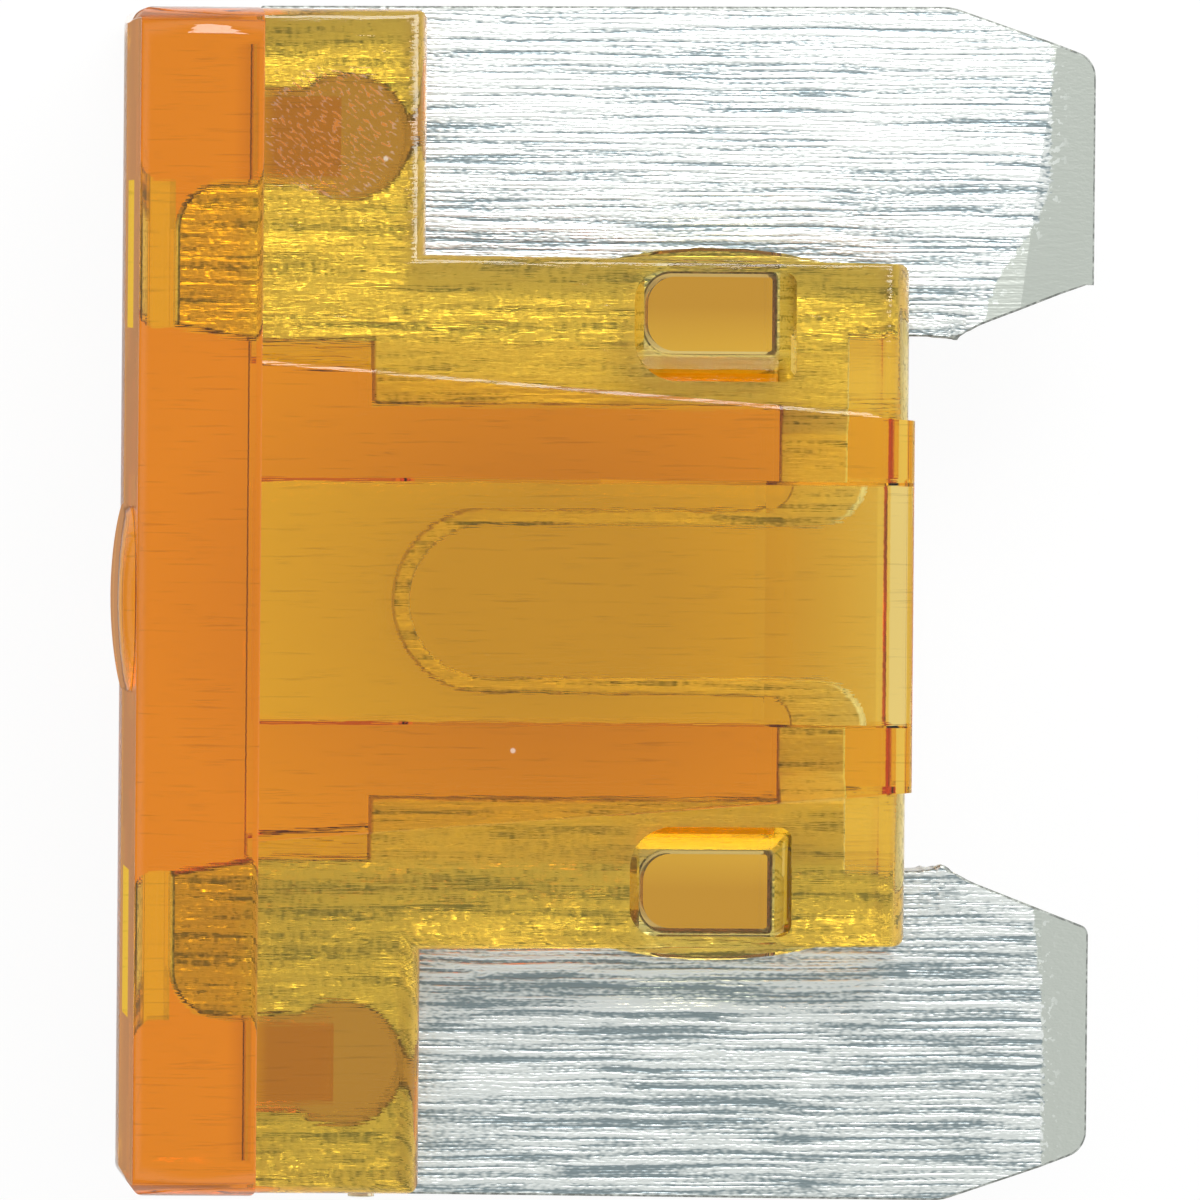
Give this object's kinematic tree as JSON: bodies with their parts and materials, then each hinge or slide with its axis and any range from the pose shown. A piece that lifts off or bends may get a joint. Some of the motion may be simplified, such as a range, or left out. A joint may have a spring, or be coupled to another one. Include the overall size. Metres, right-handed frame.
{
  "type": "blade fuse",
  "caption": "Low-profile automotive blade fuse: clear amber plastic housing staked round a stamped metal element whose flat blades are joined by a thin fusible link.",
  "frame": {"origin": "middle of the overall length and width, on the plane of the head's back face that the fuse lies on", "axes": "+X from the head towards the blade tips, +Y across the two blades, +Z from the back face to the front face"},
  "size_m": [0.009, 0.011, 0.0038],
  "materials": {
    "housing_plastic": "transparent amber moulding with fine tool marks",
    "element_metal": "bare zinc alloy, brushed along the blades"
  },
  "bodies": {
    "root": {"housing": "housing_plastic", "fuse_element": "element_metal"}
  },
  "joints": []
}
